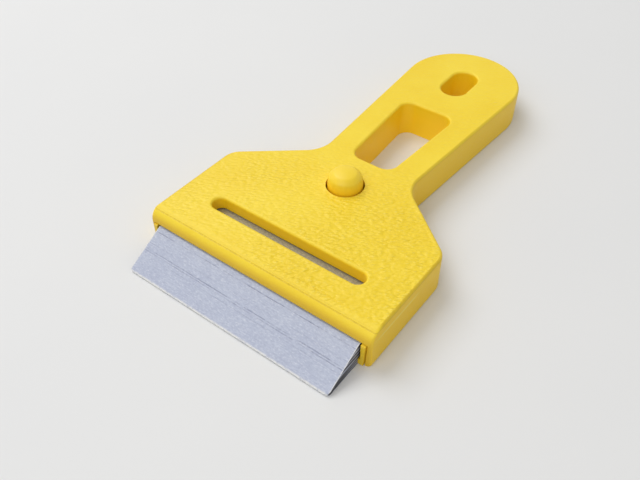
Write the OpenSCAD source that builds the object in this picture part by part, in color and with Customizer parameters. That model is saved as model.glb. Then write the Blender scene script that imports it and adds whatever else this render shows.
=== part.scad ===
// Hand scraper with a slide-in blade carrier.
// Millimetres. The underside lies on z = 0, the blade points to -Y and the handle to +Y.
// Inside the modules, y is counted from the front of the nose, and placed() then puts
// the origin under the middle of the whole tool.

/* [Body] */
// Thickness of head and handle, from the underside to the top face
body_t = 12.7; // [11.5:0.1:16]
// Length of the body, from the nose to the end of the handle
body_len = 138.8; // [130:0.2:170]
// Length of the head's flat sides, up to the point where the shoulders would begin
head_side = 36; // [32:0.5:40]
// Angle of the shoulders to the front edge, in degrees
shoulder_angle = 38.7; // [34:0.1:42]
// Rounding of the head's corners at the shoulders
shoulder_r = 6.4; // [3:0.2:9]
// Hollow rounding of the neck, where the shoulders meet the handle
neck_r = 10.4; // [6:0.2:13]
// Radius of the handle's round end
end_r = 20.7; // [18:0.1:23]
// Angle by which each side of the handle spreads towards its end, in degrees
grip_taper = 3.7; // [2:0.1:4.5]
// Radius of the quarter-round along the front of the top face
nose_r = 4.2; // [3:0.1:5]
// Rounding of the other edges of the top face
edge_r = 0.9; // [0.4:0.1:1.2]
// Rounding of the head's two upright front corners
corner_r = 0.8; // [0.4:0.1:1.2]
// Rounding of the underside's outer edges, along the sides and round the handle
foot_r = 1; // [0.4:0.1:1.2]

/* [Openings in the body] */
// Distance from the nose to the middle of the viewing slot
slot_y = 14.9; // [12:0.1:17]
// Length of the viewing slot over its round ends
slot_len = 55.2; // [40:0.2:64]
// Width of the viewing slot
slot_w = 4.9; // [4.5:0.1:7]
// Distance from the nose to the axis of the release button
button_y = 44.3; // [41:0.1:46]
// Diameter of the hole that the release button stands in
button_hole_d = 12.2; // [12:0.1:13.2]
// Distance from the nose to the front end of the finger hole
finger_front = 58; // [55:0.1:60]
// Thickness of the web between the finger hole and the hanging hole
web_t = 12.6; // [6:0.1:20]
// Rounding of the finger hole's corners
finger_r = 4; // [2:0.5:5]
// Width of the rail that the finger hole leaves at each side of the handle
rail_w = 9.4; // [7.5:0.1:10.5]
// Distance from the middle of the hanging hole to the end of the handle
hang_back = 22.5; // [18:0.1:26]
// Length of the hanging hole over its round ends
hang_len = 17.2; // [12:0.2:20]
// Width of the hanging hole
hang_w = 9.6; // [6:0.1:11]

/* [Bay for the carrier] */
// Thickness of the roof over the bay
roof_t = 4.2; // [3.6:0.1:4.6]
// Thickness of the body's side walls beside the bay, at the roof
wall_t = 1.25; // [1:0.05:2]
// Depth of the bay behind the nose
bay_depth = 24; // [21:0.5:27]
// Lean of the bay's side walls, which hold the carrier up, in degrees
rail_lean = 3; // [2.5:0.5:6]
// Running gap between the carrier and the body
slide_gap = 0.3; // [0.2:0.05:0.4]

/* [Carrier] */
// Thickness of the carrier's floor
floor_t = 2; // [1.6:0.1:2.4]
// Thickness of the carrier's side posts, near the roof
post_t = 1.35; // [1:0.05:1.6]
// Thickness of the carrier's rear wall
rear_wall_t = 2.5; // [2:0.1:3]
// How far the carrier's front edge stands ahead of the nose
carrier_proud = 0.6; // [0.2:0.1:1]
// Height of the carrier's underside above the body's underside
ride_h = 0.2; // [0.1:0.05:0.3]
// Diameter of the two round bosses that locate the blade
boss_d = 6; // [4:0.5:8]
// Distance between the two bosses
boss_span = 44; // [30:1:56]
// Distance from the nose to the bosses
boss_y = 6.2; // [5:0.1:7]

/* [Release tongue and button] */
// Thickness of the springy tongue
tongue_t = 1.4; // [1:0.1:1.8]
// Width of the tongue
tongue_w = 12; // [11:0.2:14]
// Diameter of the release button
button_d = 11.1; // [9:0.1:11.4]
// Height of the button's domed top above the top face
dome_h = 5.2; // [3:0.1:7]

/* [Blade] */
// Width of the blade, from which the width of the head follows
blade_w = 73; // [60:0.2:110]
// How far the blade's edge stands ahead of the nose
blade_reach = 13.7; // [10:0.1:20]
// Height of the blade's blunt front edge
blade_edge_t = 0.5; // [0.3:0.1:1]
// Gap between the blade's flat top and the roof over it
blade_gap = 0.6; // [0.4:0.1:0.8]
// Rounding of the blade's two front corners, seen from above
blade_corner_r = 1.2; // [0.5:0.1:2]

/* [Hidden] */

// How far a cut runs past the face that it opens
overrun = 1;
// Bevel at the underside of the holes
hole_bevel = 0.2;
// Gap between pieces that are seated against each other
seat_gap = 0.1;
// Gap round each boss, inside the blade's hole for it
boss_gap = 0.15;
// Bevel at the top of each boss
boss_bevel = 0.5;
// Gap between the blade and the carrier's side posts
blade_side_gap = 0.6;
// Gap between the tongue and the sides of its channel
channel_gap = 0.8;
// Flare of the button's hole at its lower end, which lets the pressed button lean: width, height
flare_w = 0.6;
flare_h = 3.4;
// How far the blade's slope starts ahead of the nose
heel_lead = 0.2;
// Power of the curve that rounds the button's dome: 2 would be an ellipse
dome_power = 3;

// Steps of each rounding: small corners, broad corners, the handle's end, heights, foot and dome
corner_steps = 4;
broad_steps = 9;
end_steps = 14;
height_steps = 5;
foot_steps = 4;
dome_steps = 14;
$fn = 72;

// Height of the roof's inner face, and the middle of the whole tool along y
roof_z = body_t - roof_t;
mid_y = (body_len - blade_reach) / 2;

// Width of the head over its two flat sides: the blade and all that lies beside it
head_w = blade_w + 2 * (blade_side_gap + post_t + slide_gap + wall_t);

// Holes in the handle, counted from its end
hang_y = body_len - hang_back;
finger_rear = hang_y - hang_len / 2 - web_t;

// Directions square to a shoulder and to a side of the handle
shoulder_turn = 90 - shoulder_angle;
shoulder_n = [cos(shoulder_turn), sin(shoulder_turn)];
grip_n = [cos(grip_taper), -sin(grip_taper)];

// Centres of the arcs in the right half of the outline
end_c = [0, body_len - end_r];
shoulder_c = [head_w / 2 - shoulder_r, head_side - shoulder_r * tan(shoulder_turn / 2)];
shoulder_line = shoulder_n * shoulder_c + shoulder_r;
grip_line = grip_n * end_c + end_r;
neck_c = crossing(shoulder_n, shoulder_line + neck_r, grip_n, grip_line + neck_r);

// Bay: half its width at the roof, and where the carrier's faces lie
bay_half = head_w / 2 - wall_t;
carrier_top_z = roof_z - slide_gap;
carrier_rear = bay_depth - slide_gap;
floor_z = ride_h + floor_t;
post_in = blade_w / 2 + blade_side_gap;
channel_w = tongue_w + 2 * channel_gap;

// Tongue: its root line lies on the rear face of the carrier's rear wall
tongue_z = carrier_top_z - tongue_t;
root_r = tongue_t / 2;
root_z = carrier_top_z - root_r;

// Blade
blade_top_z = roof_z - blade_gap;
blade_rear = carrier_rear - rear_wall_t - seat_gap;

// Point where the lines na * p = da and nb * p = db cross
function crossing(na, da, nb, db) =
    let (det = na[0] * nb[1] - na[1] * nb[0])
    [(da * nb[1] - db * na[1]) / det, (na[0] * db - nb[0] * da) / det];

// Points along an arc from angle a0 to angle a1
function arc(c, r, a0, a1, steps) =
    [for (i = [0:steps]) let (a = a0 + (a1 - a0) * i / steps) c + r * [cos(a), sin(a)]];

// The right half of an outline, followed by its mirror image
function both_halves(right) =
    concat(right, [for (i = [len(right) - 1:-1:0]) if (right[i][0] > 0) [-right[i][0], right[i][1]]]);

// Outline of head and handle, drawn in by side_in all round and by front_in at the nose
function body_outline(side_in, front_in) =
    both_halves(concat(
        arc([head_w / 2 - side_in - corner_r, front_in + corner_r], corner_r, -90, 0, corner_steps),
        arc(shoulder_c, shoulder_r - side_in, 0, shoulder_turn, broad_steps),
        arc(neck_c, neck_r + side_in, shoulder_turn + 180, 180 - grip_taper, broad_steps),
        arc(end_c, end_r - side_in, -grip_taper, 90 - 90 / end_steps, end_steps),
        [end_c + [0, end_r - side_in]]));

// Outline of the finger hole, whose sides run along the handle's sides, widened by grow
function finger_c(y) = [(grip_line - rail_w - finger_r + y * sin(grip_taper)) / cos(grip_taper), y];
function finger_outline(grow) =
    both_halves(concat(
        arc(finger_c(finger_front + finger_r), finger_r + grow, -90, -grip_taper, broad_steps),
        arc(finger_c(finger_rear - finger_r), finger_r + grow, -grip_taper, 90, broad_steps)));

// Outline of a slot of the given length and width along y, widened by grow
function slot_outline(length, width, grow) =
    let (c = [0, (length - width) / 2], r = width / 2 + grow)
    concat(arc(-c, r, 180, 360, 2 * broad_steps), arc(c, r, 0, 180, 2 * broad_steps));

// How far an edge rounding of radius r has drawn in at height z, under a face at body_t
function drawn_in(z, r) =
    let (up = z - (body_t - r)) up <= 0 ? 0 : r - sqrt(max(0, r * r - up * up));

// Rings of the foot's rounding, each as its height and how far it has drawn in
foot_rings = [for (i = [0:foot_steps]) let (a = 90 * i / foot_steps) foot_r * [1 - sin(a), 1 - cos(a)]];

// Heights of the rings from the top of the nose's straight part to the top face
nose_turn = asin((nose_r - edge_r) / nose_r);
nose_heights = [for (i = [0:height_steps]) body_t - nose_r * (1 - sin(nose_turn * i / height_steps))];
edge_heights = [for (i = [1:height_steps]) body_t - edge_r * (1 - sin(90 * i / height_steps))];

// The outline at each height, lifted to that height
function lifted(outline, z) = [for (p = outline) [p[0], p[1], z]];

// Triangles that fill a ring of n points whose two halves mirror each other
function fill(n) = [for (i = [0:floor(n / 2) - 1]) each [
    if (i + 1 < n - 1 - i) [i, i + 1, n - 1 - i],
    if (i + 1 < n - 2 - i) [i + 1, n - 2 - i, n - 1 - i]]];

// Solid between rings of points that lie one above the other
module stacked(rings) {
    n = len(rings[0]);
    top = len(rings) - 1;
    walls = [for (k = [0:top - 1], i = [0:n - 1])
        let (a = k * n + i, b = k * n + (i + 1) % n)
        each [[a, a + n, b], [b, a + n, b + n]]];
    roof = [for (t = fill(n)) top * n * [1, 1, 1] + [t[2], t[1], t[0]]];
    polyhedron([for (ring = rings) each ring], concat(fill(n), roof, walls));
}

// Head and handle as one block, with the nose and the rounding of its edges
module body_block() {
    stacked(concat(
        [for (i = [foot_steps:-1:0]) lifted(body_outline(foot_rings[i][1], 0), foot_rings[i][0])],
        [for (z = concat(nose_heights, edge_heights))
            lifted(body_outline(drawn_in(z, edge_r), drawn_in(z, nose_r)), z)]));
}

// Heights of the rings of a hole that opens in the top face
mouth_heights = concat([body_t - edge_r], edge_heights);

// Finger hole, right through the handle, with rounded mouth and bevelled underside
module finger_cut() {
    stacked(concat(
        [lifted(finger_outline(hole_bevel), -overrun), lifted(finger_outline(hole_bevel), 0),
         lifted(finger_outline(0), hole_bevel)],
        [for (z = mouth_heights) lifted(finger_outline(drawn_in(z, edge_r)), z)],
        [lifted(finger_outline(edge_r), body_t + overrun)]));
}

// Hanging hole, made like the finger hole
module hang_cut() {
    translate([0, hang_y, 0])
        stacked(concat(
            [lifted(slot_outline(hang_len, hang_w, hole_bevel), -overrun),
             lifted(slot_outline(hang_len, hang_w, hole_bevel), 0),
             lifted(slot_outline(hang_len, hang_w, 0), hole_bevel)],
            [for (z = mouth_heights) lifted(slot_outline(hang_len, hang_w, drawn_in(z, edge_r)), z)],
            [lifted(slot_outline(hang_len, hang_w, edge_r), body_t + overrun)]));
}

// Viewing slot, through the roof of the bay only
module view_cut() {
    translate([0, slot_y, 0]) rotate(90)
        stacked(concat(
            [lifted(slot_outline(slot_len, slot_w, 0), roof_z - overrun)],
            [for (z = mouth_heights) lifted(slot_outline(slot_len, slot_w, drawn_in(z, edge_r)), z)],
            [lifted(slot_outline(slot_len, slot_w, edge_r), body_t + overrun)]));
}

// Cross-section of the bay, or with a gap of the carrier that runs in it, up to height z_top
module bay_profile(gap, z_low, z_top) {
    spread = tan(rail_lean);
    half_low = bay_half - gap - (roof_z - z_low) * spread;
    half_top = bay_half - gap - (roof_z - z_top) * spread;
    polygon([[-half_low, z_low], [half_low, z_low], [half_top, z_top], [-half_top, z_top]]);
}

// Stretches a profile drawn in x and z from y0 to y1
module along_y(y0, y1) {
    translate([0, y1, 0]) rotate([90, 0, 0]) linear_extrude(y1 - y0) children();
}

// Plan of the tongue, or with a gap round it of the channel that it moves in
module tongue_plan(y0, gap) {
    half = tongue_w / 2 + gap;
    translate([-half, y0]) square([2 * half, button_y - y0]);
    translate([0, button_y]) circle(half);
}

// Puts the origin under the middle of the whole tool
module placed() {
    translate([0, -mid_y, 0]) children();
}

module handle_housing() {
    color([0.97, 0.85, 0.32]) placed() difference() {
        body_block();
        along_y(-overrun, bay_depth) bay_profile(0, -overrun, roof_z);
        translate([0, 0, -overrun])
            linear_extrude(roof_z + overrun) tongue_plan(bay_depth - overrun, channel_gap);
        translate([0, button_y, roof_z - overrun])
            cylinder(d = button_hole_d, h = roof_t + 2 * overrun);
        translate([0, button_y, roof_z])
            cylinder(d1 = button_hole_d + 2 * flare_w, d2 = button_hole_d, h = flare_h);
        view_cut();
        finger_cut();
        hang_cut();
    }
}

// Tray with side posts and a rear wall, open in front, with two bosses for the blade
module blade_carrier() {
    color([0.93, 0.79, 0.27]) placed() difference() {
        union() {
            difference() {
                along_y(-carrier_proud, carrier_rear) bay_profile(slide_gap, ride_h, carrier_top_z);
                translate([-post_in, -carrier_proud - overrun, floor_z])
                    cube([2 * post_in, carrier_proud + overrun + carrier_rear - rear_wall_t, roof_z]);
            }
            for (side = [-1, 1]) translate([side * boss_span / 2, boss_y, 0]) {
                translate([0, 0, floor_z - floor_t / 2])
                    cylinder(d = boss_d, h = blade_top_z - boss_bevel - floor_z + floor_t / 2);
                translate([0, 0, blade_top_z - boss_bevel])
                    cylinder(d1 = boss_d, d2 = boss_d - 2 * boss_bevel, h = boss_bevel);
            }
        }
        translate([0, carrier_rear, root_z]) rotate([0, 90, 0])
            cylinder(r = root_r + seat_gap, h = channel_w, center = true);
    }
}

// Springy tongue from the rear wall's top to under the button
module release_tongue() {
    color([0.93, 0.79, 0.27]) placed() {
        translate([0, 0, tongue_z]) linear_extrude(tongue_t) tongue_plan(carrier_rear, 0);
        translate([0, carrier_rear, root_z]) rotate([0, 90, 0])
            cylinder(r = root_r, h = tongue_w, center = true);
    }
}

// Button: a round stem in the housing's hole, under a flattened dome
module release_button() {
    dome = [for (i = [0:dome_steps]) let (a = 90 * i / dome_steps)
        [button_d / 2 * pow(cos(a), 2 / dome_power), body_t + dome_h * pow(sin(a), 2 / dome_power)]];
    color([0.96, 0.83, 0.3]) placed() translate([0, button_y, 0])
        rotate_extrude() polygon(concat([[0, carrier_top_z], [button_d / 2, carrier_top_z]], dome));
}

// Blade: a wedge ahead of the nose, with a thick tang that lies in the carrier
module scraper_blade() {
    half = blade_w / 2;
    color([0.72, 0.73, 0.8]) placed() difference() {
        intersection() {
            rotate([90, 0, 90]) translate([0, 0, -half]) linear_extrude(blade_w) polygon([
                [-blade_reach, ride_h], [-blade_reach, ride_h + blade_edge_t],
                [-heel_lead, blade_top_z], [blade_rear, blade_top_z],
                [blade_rear, floor_z + seat_gap], [-carrier_proud - seat_gap, floor_z + seat_gap],
                [-carrier_proud - seat_gap, ride_h]]);
            linear_extrude(body_t) {
                translate([-half, blade_corner_r - blade_reach])
                    square([blade_w, blade_rear + blade_reach]);
                translate([blade_corner_r - half, -blade_reach])
                    square([blade_w - 2 * blade_corner_r, 2 * blade_corner_r]);
                for (side = [-1, 1])
                    translate([side * (half - blade_corner_r), blade_corner_r - blade_reach])
                        circle(blade_corner_r);
            }
        }
        for (side = [-1, 1]) translate([side * boss_span / 2, boss_y, 0])
            cylinder(d = boss_d + 2 * boss_gap, h = body_t);
    }
}

handle_housing();
blade_carrier();
release_tongue();
release_button();
scraper_blade();
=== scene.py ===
import math

import bmesh
import bpy
import numpy as np
from mathutils import Matrix, Vector, noise
from mathutils.geometry import delaunay_2d_cdt


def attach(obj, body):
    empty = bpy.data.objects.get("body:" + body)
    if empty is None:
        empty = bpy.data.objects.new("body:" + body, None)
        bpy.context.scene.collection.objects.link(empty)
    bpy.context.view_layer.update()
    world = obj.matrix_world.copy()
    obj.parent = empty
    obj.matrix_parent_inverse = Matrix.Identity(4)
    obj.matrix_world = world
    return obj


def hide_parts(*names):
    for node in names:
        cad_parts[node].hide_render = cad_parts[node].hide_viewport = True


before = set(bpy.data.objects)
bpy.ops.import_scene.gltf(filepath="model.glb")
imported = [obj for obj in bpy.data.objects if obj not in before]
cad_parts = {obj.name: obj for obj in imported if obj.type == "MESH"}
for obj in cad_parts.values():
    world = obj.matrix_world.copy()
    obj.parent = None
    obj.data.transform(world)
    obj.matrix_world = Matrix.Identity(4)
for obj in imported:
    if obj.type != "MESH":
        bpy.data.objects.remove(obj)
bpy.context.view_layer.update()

# The stage: a plain pale floor under plain soft studio light, and the camera at the place
# from which the photograph was taken. Lengths are metres here and angles are degrees.
CAMERA_PLACE = (0.09447, -0.15451, 0.15086)
CAMERA_TURN, CAMERA_TILT, CAMERA_ROLL = -37.477, 44.377, -0.537
# Focal length and width of the sensor in millimetres, and the nearest distance it sees in metres
CAMERA_LENS, CAMERA_SENSOR, CAMERA_NEAR = 39.2, 36, 0.01
# The sky that lights the scene, and the plain tone that the camera and reflections see instead
SKY_TONE, SKY_LEVEL, BACKDROP_TONE = (1, 0.99, 0.97, 1), 0.455, (0.82, 0.82, 0.81, 1)
# The floor: half its width, its two tones, and the distances over which it fades into the backdrop
FLOOR_HALF, HAZE_RANGE = 3, (0.3, 1.1)
FLOOR_DEEP, FLOOR_PALE = (0.77, 0.775, 0.78, 1), (0.81, 0.812, 0.81, 1)
# The two square lamps: place, side and power in watts
KEY_PLACE, KEY_SIZE, KEY_POWER = (-0.86, 0.12, 1.22), 1.0, 11.0
SOFT_PLACE, SOFT_SIZE, SOFT_POWER = (0.1, -1.12, 1.12), 1.1, 6.4


def node(tree, kind, inputs=None, **settings):
    """A shader node whose inputs are given by name or number, as values or as sockets to link."""
    made = tree.nodes.new(kind)
    for key, value in settings.items():
        setattr(made, key, value)
    for key, value in (inputs or {}).items():
        if isinstance(value, bpy.types.NodeSocket):
            tree.links.new(value, made.inputs[key])
        else:
            made.inputs[key].default_value = value
    return made


def maths(tree, operation, a, b=0.0, clamp=False):
    """The result of a calculation with values or sockets, on request held between 0 and 1."""
    made = node(tree, "ShaderNodeMath", {0: a, 1: b}, operation=operation, use_clamp=clamp)
    return made.outputs[0]


def ramp(tree, value, low, high, out_low=0.0, out_high=1.0):
    """value, turned from the range low to high into the range out_low to out_high and held there."""
    made = node(tree, "ShaderNodeMapRange", {0: value, 1: low, 2: high, 3: out_low, 4: out_high})
    return made.outputs[0]


def blank_material(name):
    """A new material and its empty node tree."""
    material = bpy.data.materials.new(name)
    material.use_nodes = True
    material.node_tree.nodes.clear()
    return material, material.node_tree


def soft_lamp(name, place, size, power):
    """A square lamp at place that shines at the middle of the stage."""
    lamp = bpy.data.lights.new(name, "AREA")
    lamp.shape = "SQUARE"
    lamp.size = size
    lamp.energy = power
    holder = bpy.data.objects.new(name, lamp)
    turn = (-Vector(place)).to_track_quat("-Z", "Y")
    holder.matrix_world = Matrix.Translation(place) @ turn.to_matrix().to_4x4()
    bpy.context.scene.collection.objects.link(holder)


soft_lamp("key_lamp", KEY_PLACE, KEY_SIZE, KEY_POWER)
soft_lamp("soft_lamp", SOFT_PLACE, SOFT_SIZE, SOFT_POWER)

world = bpy.data.worlds.new("studio")
world.use_nodes = True
tree = world.node_tree
tree.nodes.clear()
seen = node(tree, "ShaderNodeLightPath").outputs
sky = node(tree, "ShaderNodeBackground", {"Color": SKY_TONE, "Strength": SKY_LEVEL})
backdrop = node(tree, "ShaderNodeBackground", {"Color": BACKDROP_TONE, "Strength": 1})
straight = maths(tree, "MAXIMUM", seen["Is Camera Ray"], seen["Is Glossy Ray"])
straight = maths(tree, "MAXIMUM", straight, seen["Is Transmission Ray"])
both = node(tree, "ShaderNodeMixShader", {0: straight, 1: sky.outputs[0], 2: backdrop.outputs[0]})
node(tree, "ShaderNodeOutputWorld", {"Surface": both.outputs[0]})
bpy.context.scene.world = world

paint, tree = blank_material("pale_floor")
where = node(tree, "ShaderNodeTexCoord").outputs["Object"]
cloud = node(tree, "ShaderNodeTexNoise", {"Vector": where, "Scale": 9, "Detail": 3}).outputs["Fac"]
tone = node(tree, "ShaderNodeMix", {0: cloud, 6: FLOOR_DEEP, 7: FLOOR_PALE}, data_type="RGBA")
matt = node(tree, "ShaderNodeBsdfPrincipled", {"Base Color": tone.outputs[2], "Roughness": 0.75})
haze = node(tree, "ShaderNodeEmission", {"Color": BACKDROP_TONE, "Strength": 1})
away = node(tree, "ShaderNodeVectorMath", {0: where}, operation="LENGTH").outputs["Value"]
far = maths(tree, "MULTIPLY", ramp(tree, away, *HAZE_RANGE),
            node(tree, "ShaderNodeLightPath").outputs["Is Camera Ray"])
surface = node(tree, "ShaderNodeMixShader", {0: far, 1: matt.outputs[0], 2: haze.outputs[0]})
node(tree, "ShaderNodeOutputMaterial", {"Surface": surface.outputs[0]})

floor_mesh = bpy.data.meshes.new("floor")
floor_corners = [(x * FLOOR_HALF, y * FLOOR_HALF, 0) for x, y in ((-1, -1), (1, -1), (1, 1), (-1, 1))]
floor_mesh.from_pydata(floor_corners, [], [(0, 1, 2, 3)])
floor_mesh.materials.append(paint)
floor = bpy.data.objects.new("floor", floor_mesh)
bpy.context.scene.collection.objects.link(floor)

turn, tilt, roll = (math.radians(a) for a in (CAMERA_TURN, CAMERA_TILT, CAMERA_ROLL))
forward = Vector((math.sin(turn) * math.cos(tilt), math.cos(turn) * math.cos(tilt), -math.sin(tilt)))
level = Vector((math.cos(turn), -math.sin(turn), 0))
upward = level.cross(forward)
right = math.cos(roll) * level + math.sin(roll) * upward
top = math.cos(roll) * upward - math.sin(roll) * level
camera_data = bpy.data.cameras.new("camera")
camera_data.sensor_width = CAMERA_SENSOR
camera_data.lens = CAMERA_LENS
camera_data.clip_start = CAMERA_NEAR
camera = bpy.data.objects.new("camera", camera_data)
camera_turn = Matrix((right, top, -forward)).transposed().to_4x4()
camera.matrix_world = Matrix.Translation(CAMERA_PLACE) @ camera_turn
bpy.context.scene.collection.objects.link(camera)
bpy.context.scene.camera = camera
bpy.context.scene.view_settings.view_transform = "Standard"

# The housing: head and handle in one piece of yellow plastic, laid down in level layers with the
# top face down on a pebbled plate. Lengths are millimetres, y is counted from the nose, and every
# size is the one of the CAD part. It is closed below, apart from the bay that opens in front.
MM = 0.001
# Heights closer together than NEAR count as one. In metres, edges shorter than TINY are taken
# out, and points within JOIN_REACH of each other are joined.
NEAR, TINY, JOIN_REACH = 0.01, 1e-7, 2e-6
# Thickness and length, y of the part's origin, width of the head and length of its straight sides
BODY_T, BODY_LEN, MID_Y, HEAD_W, HEAD_SIDE = 12.7, 138.8, 62.55, 80, 36
# Turn and rounding of the shoulders, rounding of the neck, of the handle's end, and its taper
SHOULDER_TURN, SHOULDER_R, NECK_R, END_R, GRIP_TAPER = 90 - 38.7, 6.4, 10.4, 20.7, 3.7
# Rounding of the nose, of the top's other edges, of the front corners and of the foot
NOSE_R, EDGE_R, CORNER_R, FOOT_R = 4.2, 0.9, 0.8, 1.0
# Viewing slot, finger hole with the rails beside it, hanging hole, and the bevel under both holes
SLOT_Y, SLOT_LEN, SLOT_W = 14.9, 55.2, 4.9
FINGER_FRONT, FINGER_REAR, FINGER_R, RAIL_W = 58, 95.1, 4, 9.4
HANG_Y, HANG_LEN, HANG_W, HOLE_BEVEL = 116.3, 17.2, 9.6, 0.2
# The button's hole, how far it opens at its mouth, and the wider flare at its foot
BUTTON_Y, BUTTON_HOLE_R, BUTTON_MOUTH, FLARE_W, FLARE_H = 44.3, 6.1, 0.12, 0.6, 3.4
# The bay, the lean of its sides, and the tongue's channel behind it
ROOF_Z, BAY_HALF, BAY_DEPTH, RAIL_LEAN, CHANNEL_HALF = 8.5, 38.75, 24, 3, 6.8
# Steps of the outline's roundings, points along its straight sides, least room beside the bay
CORNER_STEPS, SHOULDER_STEPS, NECK_STEPS, END_STEPS = 6, 14, 16, 28
FINGER_STEPS, HANG_STEPS, SLOT_STEPS, CHANNEL_STEPS, BUTTON_STEPS = 12, 24, 18, 32, 72
SIDE_POINTS, LEAST_CORNER = (5.6, 31, 35), 0.05
# Height of a layer, depth of the line between two layers, and of the nose's lines near the top
LAYER_H, LAYER_GROOVE, NOSE_GROOVE, NOSE_TOP = 0.3, 0.022, 0.08, 0.7
# Rings near the foot, and rings between two lines as shares of a layer: in the top's rounding,
# above the bay's roof, and below it
FOOT_LEVELS = 0.0, 0.03, 0.07, 0.15, 0.29
TOP_RISES, UPPER_RISES, LOWER_RISES = (0.36, 0.64, 0.843, 0.96, 1.0), (0.25, 0.5, 0.75), (0.5,)
# The parts of the wall near its top and its foot that are worn
WORN_TOP, WORN_FOOT = 0.45, 0.3
# Heights of the nose's two lines, how dark the painted shade in their grooves is, and how near a
# ring must be to take it
NOSE_LINES, LINE_REACH = {12.4: 0.12, 12.1: 0.32}, 0.1
# The wall stands in by this much above the bay's roof, fades over this height, and ends below the top
HULL_STEP, HULL_FADE, HULL_END = 0.05, 0.45, 1.2
# The painted highlight of its step: its height, strength and half width, and the length over which it
# fades out
HULL_LINE, HULL_HIGHLIGHT, HULL_LINE_W, HULL_RUN = 9.15, 0.5, 0.6, 4
# The painted shade along the rounded edge of the sides: how it sets in below the top, its foot and
# its fade there, and its share at places from the nose to the handle's end
EDGE_SHADE_TOP, EDGE_SHADE_FOOT, EDGE_SHADE_FADE = 0.02, 11.75, 0.25
EDGE_SHADE_Y, EDGE_SHADE_SHARE = (4.2, 5.6, 33, 37, 52, 58, 108, 118), (0, 1, 1, 0.2, 0.2, 0.75, 0.75, 0.3)


def held(value, low=0.0, high=1.0):
    """The value, kept between low and high."""
    return min(max(value, low), high)


def edges_of(loop):
    """The edges of a loop as seen from above, each with its start and its end."""
    corners = [p[:2] for p in loop]
    return zip(corners, corners[1:] + corners[:1])


def inside(loop, px, py):
    """Which points lie inside a loop, by counting the edges that a line to the right crosses."""
    hit = np.zeros(len(px), bool)
    for (x0, y0), (x1, y1) in edges_of(loop):
        if y0 != y1:
            crosses = (y0 > py) != (y1 > py)
            hit ^= crosses & (px < (x1 - x0) * (py - y0) / (y1 - y0) + x0)
    return hit


def clean(mesh):
    """Takes out faces and edges without size, and turns the faces outwards."""
    bmesh.ops.dissolve_degenerate(mesh, edges=mesh.edges, dist=TINY)
    bmesh.ops.recalc_face_normals(mesh, faces=mesh.faces)


class Skin:
    """Collects the rings and flat faces of one closed piece, in millimetres from the nose. Its
    points carry shares for the material: rim where edges are worn, line for painted shade in a
    groove, or below 0 for a painted highlight on a step, a share of painted bounce light on the
    walls of holes, and a share of painted shade on the rounded edge of the sides."""

    def __init__(self):
        self.mesh = bmesh.new()
        self.rim = self.mesh.verts.layers.float.new("rim")
        self.line = self.mesh.verts.layers.float.new("line")
        self.hollow_bounce = self.mesh.verts.layers.float.new("hollow_bounce")
        self.edge_shade = self.mesh.verts.layers.float.new("edge_shade")

    def row(self, points, rim=0.0, lines=None, hollow_bounce=0.0, edge_shades=None):
        """Adds a row of points. Each point has its own share in lines and in the painted shade of the
        edge.
        """
        made = [self.mesh.verts.new((x * MM, (y - MID_Y) * MM, z * MM)) for x, y, z in points]
        none = [0.0] * len(made)
        for v, line, share in zip(made, lines or none, edge_shades or none):
            v[self.rim], v[self.line], v[self.hollow_bounce], v[self.edge_shade] = rim, line, hollow_bounce, share
        return made

    def wall(self, rings):
        """Faces between rings of points that lie one above the other."""
        for low, high in zip(rings, rings[1:]):
            for i in range(len(low)):
                j = (i + 1) % len(low)
                self.mesh.faces.new((low[i], low[j], high[j], high[i]))

    def flat(self, loops, z, inner=(), rim=1.0):
        """A level face inside the first loop and outside the others, with inner points at their
        own heights. The loops' points get the share rim."""
        points, edges = [], []
        for loop in loops:
            start = len(points)
            points += [Vector(p[:2]) for p in loop]
            edges += [(start + i, start + (i + 1) % len(loop)) for i in range(len(loop))]
        heights = [z] * len(points) + [p[2] for p in inner]
        rims = [rim] * len(points) + [0.0] * len(inner)
        points += [Vector(p[:2]) for p in inner]
        out, _, faces, sources, _, _ = delaunay_2d_cdt(points, edges, [], 2, TINY, True)
        made = []
        for p, source in zip(out, sources):
            v = self.mesh.verts.new((p.x * MM, (p.y - MID_Y) * MM, heights[source[0]] * MM))
            v[self.rim] = rims[source[0]]
            made.append(v)
        middles = np.array([sum((out[i] for i in face), Vector((0, 0))) / len(face) for face in faces])
        kept = inside(loops[0], middles[:, 0], middles[:, 1])
        for hole in loops[1:]:
            kept &= ~inside(hole, middles[:, 0], middles[:, 1])
        for face, keep in zip(faces, kept):
            if keep:
                self.mesh.faces.new([made[i] for i in face])
        bmesh.ops.delete(self.mesh, geom=[v for v in made if not v.link_faces], context="VERTS")

    def close(self, name, material, smooth_angle=38):
        """Joins what meets, turns the faces outwards and returns the piece's object."""
        bmesh.ops.remove_doubles(self.mesh, verts=self.mesh.verts, dist=JOIN_REACH)
        clean(self.mesh)
        data = bpy.data.meshes.new(name)
        self.mesh.to_mesh(data)
        self.mesh.free()
        data.materials.append(material)
        data.shade_smooth()
        data.set_sharp_from_angle(angle=math.radians(smooth_angle))
        piece = bpy.data.objects.new(name, data)
        bpy.context.scene.collection.objects.link(piece)
        even = piece.modifiers.new("even_flats", "WEIGHTED_NORMAL")
        even.mode = "FACE_AREA"
        even.keep_sharp = True
        return piece


def crossing(turn_a, reach_a, turn_b, reach_b):
    """The point where two lines cross, each given by its normal's direction and its distance."""
    ax, ay = math.cos(math.radians(turn_a)), math.sin(math.radians(turn_a))
    bx, by = math.cos(math.radians(turn_b)), math.sin(math.radians(turn_b))
    det = ax * by - ay * bx
    return (reach_a * by - reach_b * ay) / det, (reach_b * ax - reach_a * bx) / det


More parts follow.
